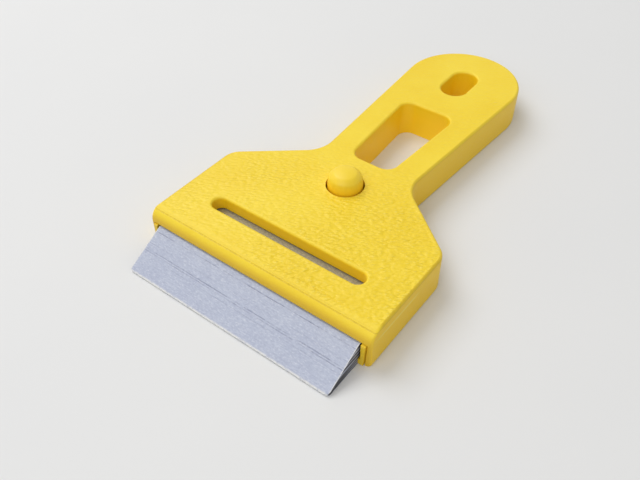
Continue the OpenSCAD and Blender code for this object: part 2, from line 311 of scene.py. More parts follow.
def arc(centre, r, a0, a1, steps):
    """Points on an arc from the angle a0 to the angle a1."""
    return [(centre[0] + r * math.cos(math.radians(a0 + (a1 - a0) * i / steps)),
             centre[1] + r * math.sin(math.radians(a0 + (a1 - a0) * i / steps))) for i in range(steps + 1)]


def reach(turn, point):
    """How far a point lies from the origin in the direction turn."""
    return math.cos(math.radians(turn)) * point[0] + math.sin(math.radians(turn)) * point[1]


end_c = (0, BODY_LEN - END_R)
shoulder_c = (HEAD_W / 2 - SHOULDER_R, HEAD_SIDE - SHOULDER_R * math.tan(math.radians(SHOULDER_TURN / 2)))
shoulder_reach = reach(SHOULDER_TURN, shoulder_c) + SHOULDER_R
grip_reach = reach(-GRIP_TAPER, end_c) + END_R
neck_c = crossing(SHOULDER_TURN, shoulder_reach + NECK_R, -GRIP_TAPER, grip_reach + NECK_R)


def mirrored(right_half):
    """The right half of an outline and its mirror image, as one loop."""
    return right_half + [(-x, y) for x, y in reversed(right_half) if x > 1e-9]


def body_outline(side_in, front_in, bay_x, hull_in):
    """Outline of head and handle, with a point at each side of the bay's mouth first and last."""
    side_x = HEAD_W / 2 - side_in
    corner_c = (max(side_x - CORNER_R, bay_x + LEAST_CORNER), front_in + CORNER_R)
    corner = arc(corner_c, side_x - corner_c[0], -90, 0, CORNER_STEPS)
    corner = [(x, corner_c[1] + (y - corner_c[1]) * CORNER_R / (side_x - corner_c[0])) for x, y in corner]
    side = [(side_x, y) for y in np.linspace(*SIDE_POINTS).tolist()]
    head = [(x - (hull_in if y < BAY_DEPTH else 0), y) for x, y in corner[1:] + side]
    return mirrored(
        [(bay_x, front_in), corner[0]] + head
        + arc(shoulder_c, SHOULDER_R - side_in, 0, SHOULDER_TURN, SHOULDER_STEPS)
        + arc(neck_c, NECK_R + side_in, SHOULDER_TURN + 180, 180 - GRIP_TAPER, NECK_STEPS)
        + arc(end_c, END_R - side_in, -GRIP_TAPER, 90 - 90 / END_STEPS, END_STEPS)
        + [(0, end_c[1] + END_R - side_in)])


def finger_outline(grow):
    """Outline of the finger hole, whose sides keep their distance from the handle's sides."""
    lean = math.radians(GRIP_TAPER)

    def centre(y):
        return (grip_reach - RAIL_W - FINGER_R + y * math.sin(lean)) / math.cos(lean), y

    return mirrored(
        arc(centre(FINGER_FRONT + FINGER_R), FINGER_R + grow, -90, -GRIP_TAPER, FINGER_STEPS)
        + arc(centre(FINGER_REAR - FINGER_R), FINGER_R + grow, -GRIP_TAPER, 90, FINGER_STEPS))


def hang_outline(grow):
    c, r = (HANG_LEN - HANG_W) / 2, HANG_W / 2 + grow
    return arc((0, HANG_Y - c), r, 180, 360, HANG_STEPS) + arc((0, HANG_Y + c), r, 0, 180, HANG_STEPS)


def slot_outline(grow):
    c, r = (SLOT_LEN - SLOT_W) / 2, SLOT_W / 2 + grow
    return arc((c, SLOT_Y), r, -90, 90, SLOT_STEPS) + arc((-c, SLOT_Y), r, 90, 270, SLOT_STEPS)


def ring(centre, r, steps):
    return arc(centre, r, 0, 360, steps)[:-1]


def drawn_in(z, r):
    """How far the rounding of radius r under the top face has drawn in at height z, and its slope."""
    up = held((z - (BODY_T - r)) / r)
    return r * (1 - math.sqrt(1 - up * up)), up


def foot_in(z):
    """How far the rounding of the foot has drawn in at height z."""
    down = held((FOOT_R - z) / FOOT_R)
    return FOOT_R * (1 - math.sqrt(1 - down * down))


def bay_half(z):
    """Half the width of the bay at height z."""
    return BAY_HALF - (ROOF_Z - z) * math.tan(math.radians(RAIL_LEAN))


# Heights of the rings, each with the share of the groove there: 1 on the line between two layers
levels = [(z, 0) for z in FOOT_LEVELS]
for k in range(1, int(BODY_T / LAYER_H) + 1):
    line = BODY_T - LAYER_H * k
    rises = TOP_RISES if k == 1 else UPPER_RISES if line >= ROOF_Z - NEAR else LOWER_RISES
    levels += [(line, 1)] + [(line + LAYER_H * rise, 0) for rise in rises]
levels = sorted((round(z, 5), groove) for z, groove in levels)


def outer_row(z, groove, bay_x):
    """One ring of the outer skin. A line between layers is cut in square to the surface."""
    side_in, side_up = drawn_in(z, EDGE_R)
    front_in, front_up = drawn_in(z, NOSE_R)
    depth = groove * (NOSE_GROOVE if z > BODY_T - NOSE_TOP else LAYER_GROOVE)
    side_depth = groove * LAYER_GROOVE
    has_hull = ROOF_Z + NEAR < z < BODY_T - HULL_END
    hull = HULL_STEP * math.exp(-(z - ROOF_Z) / HULL_FADE) if has_hull else 0
    points = body_outline(
        side_in + foot_in(z) + side_depth * math.sqrt(1 - side_up ** 2),
        front_in + depth * math.sqrt(1 - front_up ** 2), bay_x, hull)
    rows = []
    for x, y in points:
        front = 1 - held((y - front_in) / CORNER_R)
        rows.append((x, y, z - depth * front_up * front - side_depth * side_up * (1 - front)))
    return rows


def bay_row(z, groove):
    """The walls of the bay and of the tongue's channel, from the left side of the bay's mouth
    round to its right side."""
    half, rear, wide = bay_half(z) + groove, BAY_DEPTH + groove, CHANNEL_HALF + groove
    round_end = arc((0, BUTTON_Y), wide, 180, 0, CHANNEL_STEPS)
    return [(x, y, z) for x, y in
            [(-half, rear), (-wide, rear)] + round_end + [(wide, rear), (half, rear)]]


housing = Skin()
lower_rows, upper_rows = [], []
for z, groove in levels:
    if z <= ROOF_Z + NEAR:
        cuts = groove if z < ROOF_Z - NEAR else 0
        lower_rows.append(outer_row(z, cuts, bay_half(z)) + bay_row(z, cuts * LAYER_GROOVE))
    if z >= ROOF_Z - NEAR:
        upper_rows.append(outer_row(z, groove if z > ROOF_Z + NEAR else 0, BAY_HALF))


def rim_of(z):
    """1 at the heights where the wall is worn."""
    return 1.0 if z > BODY_T - WORN_TOP or z < WORN_FOOT else 0.0


housing.wall([housing.row(r, rim_of(r[0][2])) for r in lower_rows])
upper_rings = []
for r in upper_rows:
    z = r[0][2]
    # Painted shade in the nose's grooves and along the sides' edge, painted highlight on the hull's step
    groove_shade = sum(tone for line, tone in NOSE_LINES.items() if abs(z - line) < LINE_REACH)
    hull_highlight = -HULL_HIGHLIGHT * max(1 - abs(z - HULL_LINE) / HULL_LINE_W, 0)
    edge_shaded = min((BODY_T - z) / EDGE_SHADE_TOP, 1) * held((z - EDGE_SHADE_FOOT) / EDGE_SHADE_FADE)
    upper_rings.append(housing.row(
        r, rim_of(z),
        lines=[groove_shade if y < NOSE_R else hull_highlight * held((BAY_DEPTH - y) / HULL_RUN) for _, y, _ in r],
        edge_shades=[edge_shaded * np.interp(y, EDGE_SHADE_Y, EDGE_SHADE_SHARE) for _, y, _ in r]))
housing.wall(upper_rings)


def hole_rows(outline, low, bevel):
    """Rings of a hole's wall from the height low upwards, with a bevelled foot and a rounded mouth."""
    rows = []
    for z, groove in levels:
        if z >= low - NEAR:
            grow = drawn_in(z, EDGE_R)[0]
            if z <= low + NEAR:
                grow += bevel
            elif z < BODY_T - NEAR:
                grow += groove * LAYER_GROOVE
            rows.append([(x, y, z) for x, y in outline(grow)])
    return rows


finger_rows = hole_rows(finger_outline, 0, HOLE_BEVEL)
hang_rows = hole_rows(hang_outline, 0, HOLE_BEVEL)
slot_rows = hole_rows(slot_outline, ROOF_Z, 0)
button_rows = []
for z, groove in levels:
    if z >= ROOF_Z - NEAR:
        flare = FLARE_W * max(0, 1 - (z - ROOF_Z) / FLARE_H)
        mouth = BUTTON_MOUTH if z > BODY_T - NEAR else 0
        line = groove * LAYER_GROOVE if ROOF_Z + NEAR < z < BODY_T - NEAR else 0
        radius = BUTTON_HOLE_R + flare + mouth + line
        button_rows.append([(x, y, z) for x, y in ring((0, BUTTON_Y), radius, BUTTON_STEPS)])
# The walls of holes carry a share of painted bounce light
for rows in (finger_rows, hang_rows, slot_rows, button_rows):
    housing.wall([housing.row(r, rim_of(r[0][2]) if r[0][2] > BODY_T / 2 else 0.0,
                              hollow_bounce=min(BODY_T - r[0][2], 1)) for r in rows])

# The underside, and the roof over the bay, which has the slot and the button's hole in it
housing.flat([lower_rows[0], finger_rows[0], hang_rows[0]], 0, rim=0.0)
outer_count = len(upper_rows[0])
bay_edge = [(BAY_HALF, 0, ROOF_Z)] + lower_rows[-1][outer_count:][::-1] + [(-BAY_HALF, 0, ROOF_Z)]
housing.flat([bay_edge, slot_rows[0], button_rows[0]], ROOF_Z, rim=0.0)

# The pebbled top face: points in a close mesh, let down into the face by the grain of the plate.
# The mesh: its range across and along, distance of the points and of the rows as a share of it,
# how far a point strays, how far all stay from the edges, and the seed of the strays
GRAIN_X, GRAIN_Y, GRAIN_STEP, GRAIN_ROWS = (-39.5, 39.6), (3.5, 138.5), 0.42, 0.866
GRAIN_STRAY, GRAIN_CLEAR, GRAIN_SEED = 0.1, 0.3, 7
# Depth of the grain on the head and on the handle, the y over which it changes, and how far from
# an edge it is full
GRAIN_HEAD, GRAIN_HANDLE, GRAIN_FADE, GRAIN_EDGE = 0.15, 0.05, (32, 66), 0.7
# It is fainter on the left: its least and greatest share, and the x and width of the change
LEFT_SHARE, RIGHT_SHARE, LEFT_X, BIAS_WIDTH = 0.75, 1.2, -20, 100
# Cosine and sine of the turn of its wrinkles, and its coarse and fine pattern: cycles per
# millimetre along and across them, the place in the noise, and the fine pattern's strength.
# Last, the share of the depth at the pattern's middle, and the pattern's contrast.
WRINKLE_COS, WRINKLE_SIN = 0.79, 0.61
COARSE, COARSE_PLACE, FINE, FINE_PLACE, FINE_SHARE = (0.48, 1.35), (0, 3.1), (1.2, 2.4), (9, 7.7), 0.7
PEBBLE_MIDDLE, PEBBLE_CONTRAST = 0.5, 1.1
top_loops = [rows[-1] for rows in (upper_rows, finger_rows, hang_rows, slot_rows, button_rows)]


def distance_to(loop, px, py):
    """Distance of each point to the nearest edge of a loop."""
    best = np.full(len(px), 1e9)
    for (x0, y0), (x1, y1) in edges_of(loop):
        dx, dy = x1 - x0, y1 - y0
        length = dx * dx + dy * dy
        if length > 1e-12:
            t = np.clip(((px - x0) * dx + (py - y0) * dy) / length, 0, 1)
            best = np.minimum(best, np.hypot(px - x0 - t * dx, py - y0 - t * dy))
    return best


scatter = np.random.default_rng(GRAIN_SEED)
across, along = np.meshgrid(np.arange(*GRAIN_X, GRAIN_STEP), np.arange(*GRAIN_Y, GRAIN_STEP * GRAIN_ROWS))
across = across + (np.arange(across.shape[0]) % 2)[:, None] * GRAIN_STEP / 2
px = across.ravel() + scatter.uniform(-GRAIN_STRAY, GRAIN_STRAY, across.size)
py = along.ravel() + scatter.uniform(-GRAIN_STRAY, GRAIN_STRAY, across.size)
keep = inside(top_loops[0], px, py)
for loop in top_loops[1:]:
    keep &= ~inside(loop, px, py)
px, py = px[keep], py[keep]
edge = np.min([distance_to(loop, px, py) for loop in top_loops], axis=0)
px, py, edge = px[edge > GRAIN_CLEAR], py[edge > GRAIN_CLEAR], edge[edge > GRAIN_CLEAR]


def pattern(u, v, cycles, place):
    """Noise at a point of the top, with cycles per millimetre along and across the wrinkles."""
    return noise.noise(Vector((u * cycles[0] + place[0], v * cycles[1], place[1])))


grain_points = []
for x, y, e in zip(px, py, edge):
    u, v = WRINKLE_COS * x + WRINKLE_SIN * y, WRINKLE_COS * y - WRINKLE_SIN * x
    bias = held(LEFT_SHARE + (x - LEFT_X) / BIAS_WIDTH, LEFT_SHARE, RIGHT_SHARE)
    pebble = pattern(u, v, COARSE, COARSE_PLACE) + FINE_SHARE * pattern(u, v, FINE, FINE_PLACE)
    fade = held((y - GRAIN_FADE[0]) / (GRAIN_FADE[1] - GRAIN_FADE[0]))
    depth = GRAIN_HEAD + (GRAIN_HANDLE - GRAIN_HEAD) * fade
    share = min(e / GRAIN_EDGE, 1) * bias * held(PEBBLE_MIDDLE + PEBBLE_CONTRAST * pebble)
    grain_points.append((x, y, BODY_T - depth * share))
housing.flat(top_loops, BODY_T, grain_points)


# The housing's tones: two that drift, flecks, worn rims, painted shade on the upright sides and
# along their rounded top edge, and painted shade on the nose's lower part
HOUSING_MAIN, HOUSING_DEEP = (0.94, 0.703, 0.032, 1), (0.91, 0.65, 0.016, 1)
HOUSING_PALE = (0.95, 0.75, 0.09, 1)
RIM_TONE, SIDE_SHADE_TONE, EDGE_SHADE_TONE = (0.96, 0.77, 0.11, 1), (0.94, 0.60, 0.016, 1), (0.66, 0.43, 0.01, 1)
NOSE_SHADE_TONE = (0.77, 0.49, 0.015, 1)
# Tones of the painted shade in the nose's grooves and the painted highlight on the hull's step, of
# the painted bounce light on the walls of holes, and of the painted highlight on the crests of the pebbles
LINE_SHADE_TONE, LINE_HIGHLIGHT_TONE = (0.40, 0.24, 0.01, 1), (0.96, 0.82, 0.30, 1)
HOLLOW_BOUNCE_TONE, CREST_HIGHLIGHT = (0.99, 0.68, 0.008, 1), (0.98, 0.82, 0.17, 1)
# How far a tone covers the one below it
SIDE_SHADE_COVER, FOOT_SHADE_COVER, HOLLOW_BOUNCE_COVER, SCUFF_COVER, EDGE_SHADE_COVER = 0.8, 0.9, 0.8, 0.12, 0.65
# Patterns in cycles per metre: drift of the tone, flecks, dust, patches of the grain, pebbles
DRIFT, FLECKS, DUST, PATCHES, PEBBLES = 45, 900, 2600, 60, 1050
# The strokes of the underside, the turn of the top's pebbles, and how far these and their
# wrinkles are drawn out along that turn
STROKE_TURN, STROKE_W, GRAIN_TURN = 45, 0.00045, 37.7
PEBBLE_STRETCH, WRINKLE_STRETCH = (1.7, 0.85, 1), (2.0, 0.8, 1)
# Where the pebbles fade towards the handle, and where they are faint on the left, in metres
HANDLE_FADE, LEFT_FADE = (-0.03, 0.005), (-0.02, 0.025)
# Depths in metres of the lines between layers, of strokes, flecks and pebbles
LAYER_RELIEF, STROKE_RELIEF, FLECK_RELIEF, GRAIN_RELIEF = 0.0000055, 0.000012, 0.00001, 0.00026
# Millimetres over which the painted shade on the nose sets in from behind and from above, and the
# heights between which the button's foot takes its painted shade
NOSE_SHADE_Y, NOSE_SHADE_Z, FOOT_SHADE_Z = (5, 4.5), (11.7, 9.6), (16.0, 13.4)


def mix(tree, factor, a, b):
    """A mix of two colours."""
    made = node(tree, "ShaderNodeMix", {0: factor, 6: a, 7: b}, data_type="RGBA")
    return made.outputs[2]


def speckle(tree, place, scale, detail, rough, stretch=None):
    """A noise pattern of the given scale in cycles per metre, stretched where asked."""
    if stretch:
        place = node(tree, "ShaderNodeMapping", {"Vector": place, "Scale": stretch}).outputs[0]
    made = node(tree, "ShaderNodeTexNoise",
                {"Vector": place, "Scale": scale, "Detail": detail, "Roughness": rough})
    return made.outputs["Fac"]


def drawn_out(tree, place, stretch):
    """The place for a pattern that is drawn out along the wrinkles of the top."""
    made = node(tree, "ShaderNodeMapping", {
        "Vector": place, "Rotation": (0, 0, math.radians(GRAIN_TURN)), "Scale": stretch},
        vector_type="TEXTURE")
    return made.outputs[0]


def carried(tree, name):
    """A share that the points of the skin carry."""
    return node(tree, "ShaderNodeAttribute", attribute_name=name).outputs["Fac"]


def lay_of(tree):
    """The place on the object, that place as x, y and z, and the face's direction as x, y and z."""
    place = node(tree, "ShaderNodeTexCoord").outputs["Object"]
    normal = node(tree, "ShaderNodeNewGeometry").outputs["True Normal"]
    return (place, node(tree, "ShaderNodeSeparateXYZ", {0: place}).outputs,
            node(tree, "ShaderNodeSeparateXYZ", {0: normal}).outputs)


def add_coat(tree, colour, roughness, reliefs, shine):
    """Ends a material. Each relief is a pattern and its depth in metres."""
    height = 0.0
    for bumps, depth in reliefs:
        height = maths(tree, "ADD", height, maths(tree, "MULTIPLY", bumps, depth))
    bump = node(tree, "ShaderNodeBump", {"Height": height, "Distance": 1.0, "Strength": 1.0})
    shader = node(tree, "ShaderNodeBsdfPrincipled", {
        "Base Color": colour, "Roughness": roughness, "Normal": bump.outputs[0],
        "Specular IOR Level": shine})
    node(tree, "ShaderNodeOutputMaterial", {"Surface": shader.outputs[0]})


def layered_plastic(name, main, deep, pale, grain=0.0, rim_tone=None, side_shade=None,
                    foot_shade=None, line_phase=0.0, roughness=0.45):
    """Plastic laid down in level layers: tone that drifts, fine lines between layers on upright
    faces, strokes on level ones, a little dust and scuffing, and on request a pebbled top with a
    painted highlight on its crests. It also paints shade on upright faces, on a button's foot and
    on the nose where asked, and the painted shade, highlight and bounce light that the skin's points
    carry."""
    material, tree = blank_material(name)
    place, apart, facing = lay_of(tree)
    upright = ramp(tree, maths(tree, "ABSOLUTE", facing[2]), 0.55, 0.2)
    upwards = ramp(tree, facing[2], 0.9, 0.985)
    downwards = ramp(tree, facing[2], -0.9, -0.985)
    drift = speckle(tree, place, DRIFT, 3, 0.55)
    fleck = speckle(tree, place, FLECKS, 4, 0.6)
    dust = speckle(tree, place, DUST, 2, 0.6)
    height = maths(tree, "SUBTRACT", apart[2], line_phase)
    height = maths(tree, "MULTIPLY", height, 2 * math.pi / (LAYER_H * MM))
    layer = maths(tree, "MULTIPLY", maths(tree, "SINE", height), upright)
    turned = node(tree, "ShaderNodeMapping", {
        "Vector": place, "Rotation": (0, 0, math.radians(STROKE_TURN))})
    stroke = node(tree, "ShaderNodeSeparateXYZ", {0: turned.outputs[0]}).outputs[0]
    stroke = maths(tree, "SINE", maths(tree, "MULTIPLY", stroke, 2 * math.pi / STROKE_W))
    stroke = maths(tree, "MULTIPLY", stroke, downwards)

    colour = mix(tree, ramp(tree, drift, 0.35, 0.65), main, deep)
    colour = mix(tree, ramp(tree, fleck, 0.55, 0.75, 0, 0.35), colour, pale)
    colour = mix(tree, ramp(tree, dust, 0.62, 0.8, 0, 0.25), colour, deep)
    colour = mix(tree, ramp(tree, layer, -1, 1, 0.05, 0), colour, deep)
    # Painted shade: upright faces take a deeper orange than the top
    if side_shade:
        colour = mix(tree, maths(tree, "MULTIPLY", upright, SIDE_SHADE_COVER), colour, side_shade)
    # Painted shade: the button's foot is deeper towards its hole
    if foot_shade:
        foot = ramp(tree, apart[2], FOOT_SHADE_Z[0] * MM, FOOT_SHADE_Z[1] * MM, 0, FOOT_SHADE_COVER)
        colour = mix(tree, foot, colour, foot_shade)
    # Painted shade in the nose's grooves, and a painted highlight on the hull's step
    line = carried(tree, "line")
    dark = maths(tree, "MULTIPLY", line, ramp(tree, fleck, 0.4, 0.55, 0.55, 1), clamp=True)
    colour = mix(tree, dark, colour, LINE_SHADE_TONE)
    colour = mix(tree, ramp(tree, line, 0, -1), colour, LINE_HIGHLIGHT_TONE)
    # Painted bounce light: the walls of holes take a brighter, more saturated orange
    colour = mix(tree, maths(tree, "MULTIPLY", carried(tree, "hollow_bounce"), HOLLOW_BOUNCE_COVER), colour, HOLLOW_BOUNCE_TONE)
    worn = carried(tree, "rim")
    if rim_tone:
        scuff = maths(tree, "MULTIPLY", worn, ramp(tree, fleck, 0.35, 0.6))
        colour = mix(tree, maths(tree, "MULTIPLY", scuff, SCUFF_COVER), colour, rim_tone)
        # Painted shade along the rounded edge of the sides
        colour = mix(tree, maths(tree, "MULTIPLY", carried(tree, "edge_shade"), EDGE_SHADE_COVER), colour, EDGE_SHADE_TONE)
        # Painted shade on the nose, deeper towards its lower edge
        nose_shade = maths(tree, "MULTIPLY", ramp(tree, facing[1], -0.4, -0.8),
                       ramp(tree, apart[1], *((y - MID_Y) * MM for y in NOSE_SHADE_Y)))
        nose_shade = maths(tree, "MULTIPLY", nose_shade, ramp(tree, drift, 0.35, 0.6, 0.8, 1.1))
        near_top = ramp(tree, apart[2], *(z * MM for z in NOSE_SHADE_Z))
        nose_shade = maths(tree, "MULTIPLY", nose_shade, near_top, clamp=True)
        colour = mix(tree, nose_shade, colour, NOSE_SHADE_TONE)
    gloss = maths(tree, "ADD", ramp(tree, fleck, 0.3, 0.7, roughness - 0.05, roughness + 0.08),
                  ramp(tree, worn, 0, 1, 0, 0.06))
    reliefs = [(layer, LAYER_RELIEF), (stroke, STROKE_RELIEF), (fleck, FLECK_RELIEF)]
    if grain:
        pebbles = node(tree, "ShaderNodeTexVoronoi", {
            "Vector": drawn_out(tree, place, PEBBLE_STRETCH), "Scale": PEBBLES, "Smoothness": 0.4},
            feature="SMOOTH_F1").outputs["Distance"]
        wrinkle = speckle(tree, drawn_out(tree, place, WRINKLE_STRETCH), PEBBLES, 2, 0.5)
        patches = ramp(tree, speckle(tree, place, PATCHES, 2, 0.5), 0.38, 0.6, 0.6, 1.25)
        patches = maths(tree, "MULTIPLY", patches,
                        ramp(tree, apart[0], *LEFT_FADE, LEFT_SHARE, RIGHT_SHARE))
        pressed = maths(tree, "MULTIPLY", upwards, ramp(tree, apart[1], *HANDLE_FADE, 1, 0.3))
        pressed = maths(tree, "MULTIPLY", pressed, patches)
        reliefs += [(maths(tree, "MULTIPLY", pebbles, pressed), -grain),
                    (maths(tree, "MULTIPLY", wrinkle, pressed), grain)]
        # Painted highlight on the crests of the pebbles
        crest_highlight = maths(tree, "MULTIPLY", ramp(tree, pebbles, 0.36, 0.12, 0, 0.3), pressed, clamp=True)
        colour = mix(tree, crest_highlight, colour, CREST_HIGHLIGHT)
    add_coat(tree, colour, gloss, reliefs, 0.5)
    return material


housing_plastic = layered_plastic(
    "housing_plastic", HOUSING_MAIN, HOUSING_DEEP, HOUSING_PALE, grain=GRAIN_RELIEF,
    rim_tone=RIM_TONE, side_shade=SIDE_SHADE_TONE, line_phase=BODY_T * MM)
handle_housing = housing.close("housing_body", housing_plastic)
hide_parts("handle_housing")
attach(handle_housing, "housing")

# The carrier and its springy tongue: a yellow tray with side posts that slides into the bay from
# the front, printed in level layers like the housing. The CAD solids have their real shape, so
# they stay and get the smoother, slightly deeper yellow of an inner part.
CARRIER_MAIN, CARRIER_DEEP = (0.91, 0.63, 0.028, 1), (0.85, 0.56, 0.016, 1)
CARRIER_PALE = (0.94, 0.70, 0.06, 1)
carrier_plastic = layered_plastic("carrier_plastic", CARRIER_MAIN, CARRIER_DEEP, CARRIER_PALE)
for name in ("blade_carrier", "release_tongue"):
    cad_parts[name].data.materials[0] = carrier_plastic

# The release button: a round stem under a flattened dome, of the carrier's yellow plastic. A tree
# of Geometry Nodes turns its outline round the axis and cuts the fine level lines into it.
# Radius, foot and height of the dome, and the power of its rounding: 2 would make it an ellipse
BUTTON_R, BUTTON_FOOT, DOME_H, DOME_POWER = 5.55, 8.2, 5.2, 3.0
# Depth of the level lines, share of the rings on the stem, and the dome's facets: how many lie
# one above the other, and how far they are flattened. Then the points of the grid upwards and
# round, and the distance in metres within which they are joined.
BUTTON_GROOVE, STEM_SHARE, DOME_FACETS, FACET_FLATNESS = 0.03, 0.3, 3.0, 0.42
BUTTON_RINGS, BUTTON_SIDES, BUTTON_JOIN = 160, 97, 1e-6
# The button's tones, the painted shade of its foot next to the hole, and its roughness
BUTTON_MAIN, BUTTON_DEEP = (0.96, 0.71, 0.04, 1), (0.93, 0.66, 0.025, 1)
BUTTON_PALE, BUTTON_FOOT_SHADE, BUTTON_ROUGHNESS = (0.97, 0.75, 0.08, 1), (0.98, 0.60, 0.008, 1), 0.42


def blend_values(tree, share, a, b):
    """A mix of two numbers."""
    made = node(tree, "ShaderNodeMix", {0: share, 2: a, 3: b}, data_type="FLOAT")
    return made.outputs[0]


def button_tree():
    """A tree that rolls a flat grid up round an axis, with the dome's outline and level lines."""
    tree = bpy.data.node_groups.new("round_button", "GeometryNodeTree")
    numbers = ("Radius", "Foot", "Shoulder", "Dome", "Power", "Stem Share", "Layer", "Facets",
               "Flatness", "Groove", "Axis Y")
    for name, kind in (("Geometry", "Geometry"), *((name, "Float") for name in numbers),
                       ("Rings", "Int"), ("Sides", "Int"), ("Material", "Material")):
        tree.interface.new_socket(name, in_out="INPUT", socket_type="NodeSocket" + kind)
    tree.interface.new_socket("Geometry", in_out="OUTPUT", socket_type="NodeSocketGeometry")
    size = node(tree, "NodeGroupInput").outputs
    grid = node(tree, "GeometryNodeMeshGrid", {
        "Size X": 1.0, "Size Y": 1.0, "Vertices X": size["Sides"], "Vertices Y": size["Rings"]})
    spot = node(tree, "ShaderNodeSeparateXYZ", {0: node(tree, "GeometryNodeInputPosition").outputs[0]})
    angle = maths(tree, "MULTIPLY", spot.outputs[0], 2 * math.pi)
    share = maths(tree, "ADD", spot.outputs[1], 0.5)
    stem = maths(tree, "DIVIDE", share, size["Stem Share"], clamp=True)
    over = maths(tree, "SUBTRACT", share, size["Stem Share"])
    left = maths(tree, "SUBTRACT", 1.0, size["Stem Share"])
    climb = maths(tree, "DIVIDE", over, left, clamp=True)
    power = maths(tree, "DIVIDE", 2.0, size["Power"])

    def profile(climbed):
        """Height and width of the rounded dome, as shares, at a share of the way up."""
        turn = maths(tree, "MULTIPLY", climbed, math.pi / 2)
        return (maths(tree, "POWER", maths(tree, "SINE", turn), power),
                maths(tree, "POWER", maths(tree, "MAXIMUM", maths(tree, "COSINE", turn), 0.0), power))

    scaled = maths(tree, "MULTIPLY", climb, size["Facets"])
    last = maths(tree, "SUBTRACT", size["Facets"], 0.001)
    below = maths(tree, "FLOOR", maths(tree, "MINIMUM", scaled, last))
    along = maths(tree, "SUBTRACT", scaled, below)
    low = profile(maths(tree, "DIVIDE", below, size["Facets"]))
    high = profile(maths(tree, "DIVIDE", maths(tree, "ADD", below, 1.0), size["Facets"]))
    rise, narrow = (
        blend_values(tree, size["Flatness"], round_one, blend_values(tree, along, start, end))
        for round_one, start, end in zip(profile(climb), low, high))
    shoulder = maths(tree, "SUBTRACT", size["Shoulder"], size["Foot"])
    z = maths(tree, "ADD", size["Foot"], maths(tree, "MULTIPLY", shoulder, stem))
    z = maths(tree, "ADD", z, maths(tree, "MULTIPLY", size["Dome"], rise))
    layer = maths(tree, "DIVIDE", z, size["Layer"])
    wave = maths(tree, "COSINE", maths(tree, "MULTIPLY", layer, 2 * math.pi))
    line = maths(tree, "POWER", maths(tree, "MULTIPLY", maths(tree, "ADD", wave, 1.0), 0.5), 3.0)
    inset = maths(tree, "MULTIPLY", line, size["Groove"])
    r = maths(tree, "SUBTRACT", maths(tree, "MULTIPLY", size["Radius"], narrow), inset)
    first = node(tree, "FunctionNodeCompare", {0: share, 1: 0.0001},
                 data_type="FLOAT", operation="GREATER_THAN")
    r = maths(tree, "MULTIPLY", maths(tree, "MAXIMUM", r, 0.0), first.outputs[0])
    x = maths(tree, "MULTIPLY", r, maths(tree, "COSINE", angle))
    y = maths(tree, "ADD", maths(tree, "MULTIPLY", r, maths(tree, "SINE", angle)), size["Axis Y"])
    made = node(tree, "ShaderNodeCombineXYZ", {0: x, 1: y, 2: z})
    put = node(tree, "GeometryNodeSetPosition", {
        "Geometry": grid.outputs["Mesh"], "Position": made.outputs[0]})
    joined = node(tree, "GeometryNodeMergeByDistance", {
        "Geometry": put.outputs[0], "Distance": BUTTON_JOIN})
    smooth = node(tree, "GeometryNodeSetShadeSmooth", {"Geometry": joined.outputs[0]})
    real = node(tree, "GeometryNodeRealizeInstances", {"Geometry": smooth.outputs[0]})
    tint = node(tree, "GeometryNodeSetMaterial", {
        "Geometry": real.outputs[0], "Material": size["Material"]})
    node(tree, "NodeGroupOutput", {0: tint.outputs[0]})
    return tree


def grown(name, tree, sizes):
    """The plain mesh that a tree of Geometry Nodes makes with these sizes."""
    holder = bpy.data.objects.new(name, bpy.data.meshes.new(name))
    bpy.context.scene.collection.objects.link(holder)
    growth = holder.modifiers.new("growth", "NODES")
    growth.node_group = tree
    sockets = {s.name: s.identifier for s in tree.interface.items_tree if s.in_out == "INPUT"}
    for key, value in sizes.items():
        growth[sockets[key]] = value
    shape = holder.evaluated_get(bpy.context.evaluated_depsgraph_get())
    data = bpy.data.meshes.new_from_object(shape)
    holder.modifiers.clear()
    holder.data = data
    data.name = name
    return holder


button_plastic = layered_plastic("button_plastic", BUTTON_MAIN, BUTTON_DEEP, BUTTON_PALE,
                                 foot_shade=BUTTON_FOOT_SHADE, roughness=BUTTON_ROUGHNESS)
button = grown("button_cap", button_tree(), {
    "Radius": BUTTON_R * MM, "Foot": BUTTON_FOOT * MM, "Shoulder": BODY_T * MM, "Dome": DOME_H * MM,
    "Power": DOME_POWER, "Stem Share": STEM_SHARE, "Layer": LAYER_H * MM, "Facets": DOME_FACETS,
    "Flatness": FACET_FLATNESS, "Groove": BUTTON_GROOVE * MM, "Axis Y": (BUTTON_Y - MID_Y) * MM,
    "Rings": BUTTON_RINGS, "Sides": BUTTON_SIDES, "Material": button_plastic})
turned = bmesh.new()
turned.from_mesh(button.data)
clean(turned)
turned.to_mesh(button.data)
turned.free()
button.data.set_sharp_from_angle(angle=math.radians(50))
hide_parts("release_button")
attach(button, "latch")

# The blade: a wedge of silver-grey plastic with a thick tang in the carrier, held by two bosses.
# Its level layers show as fine broken lines along the slope and as a stack on its side faces.
# Half the width, how far it stands out, its foot and top, the thickness of its edge, the rounding
# of its corners, and how far the top of the slope lies ahead of the nose
BLADE_HALF, BLADE_REACH, BLADE_FOOT, BLADE_TOP = 36.5, 13.7, 0.2, 7.9
BLADE_EDGE_T, BLADE_CORNER_R, HEEL_LEAD = 0.5, 1.2, 0.2
# The tang's foot and rear end, where the full wedge ends below it, and the holes of the bosses
TANG_FOOT, TANG_REAR, WEDGE_REAR = 2.3, 21.1, -0.7
BOSS_X, BOSS_Y, BOSS_HOLE_R, BOSS_STEPS = 22, 6.2, 3.15, 48
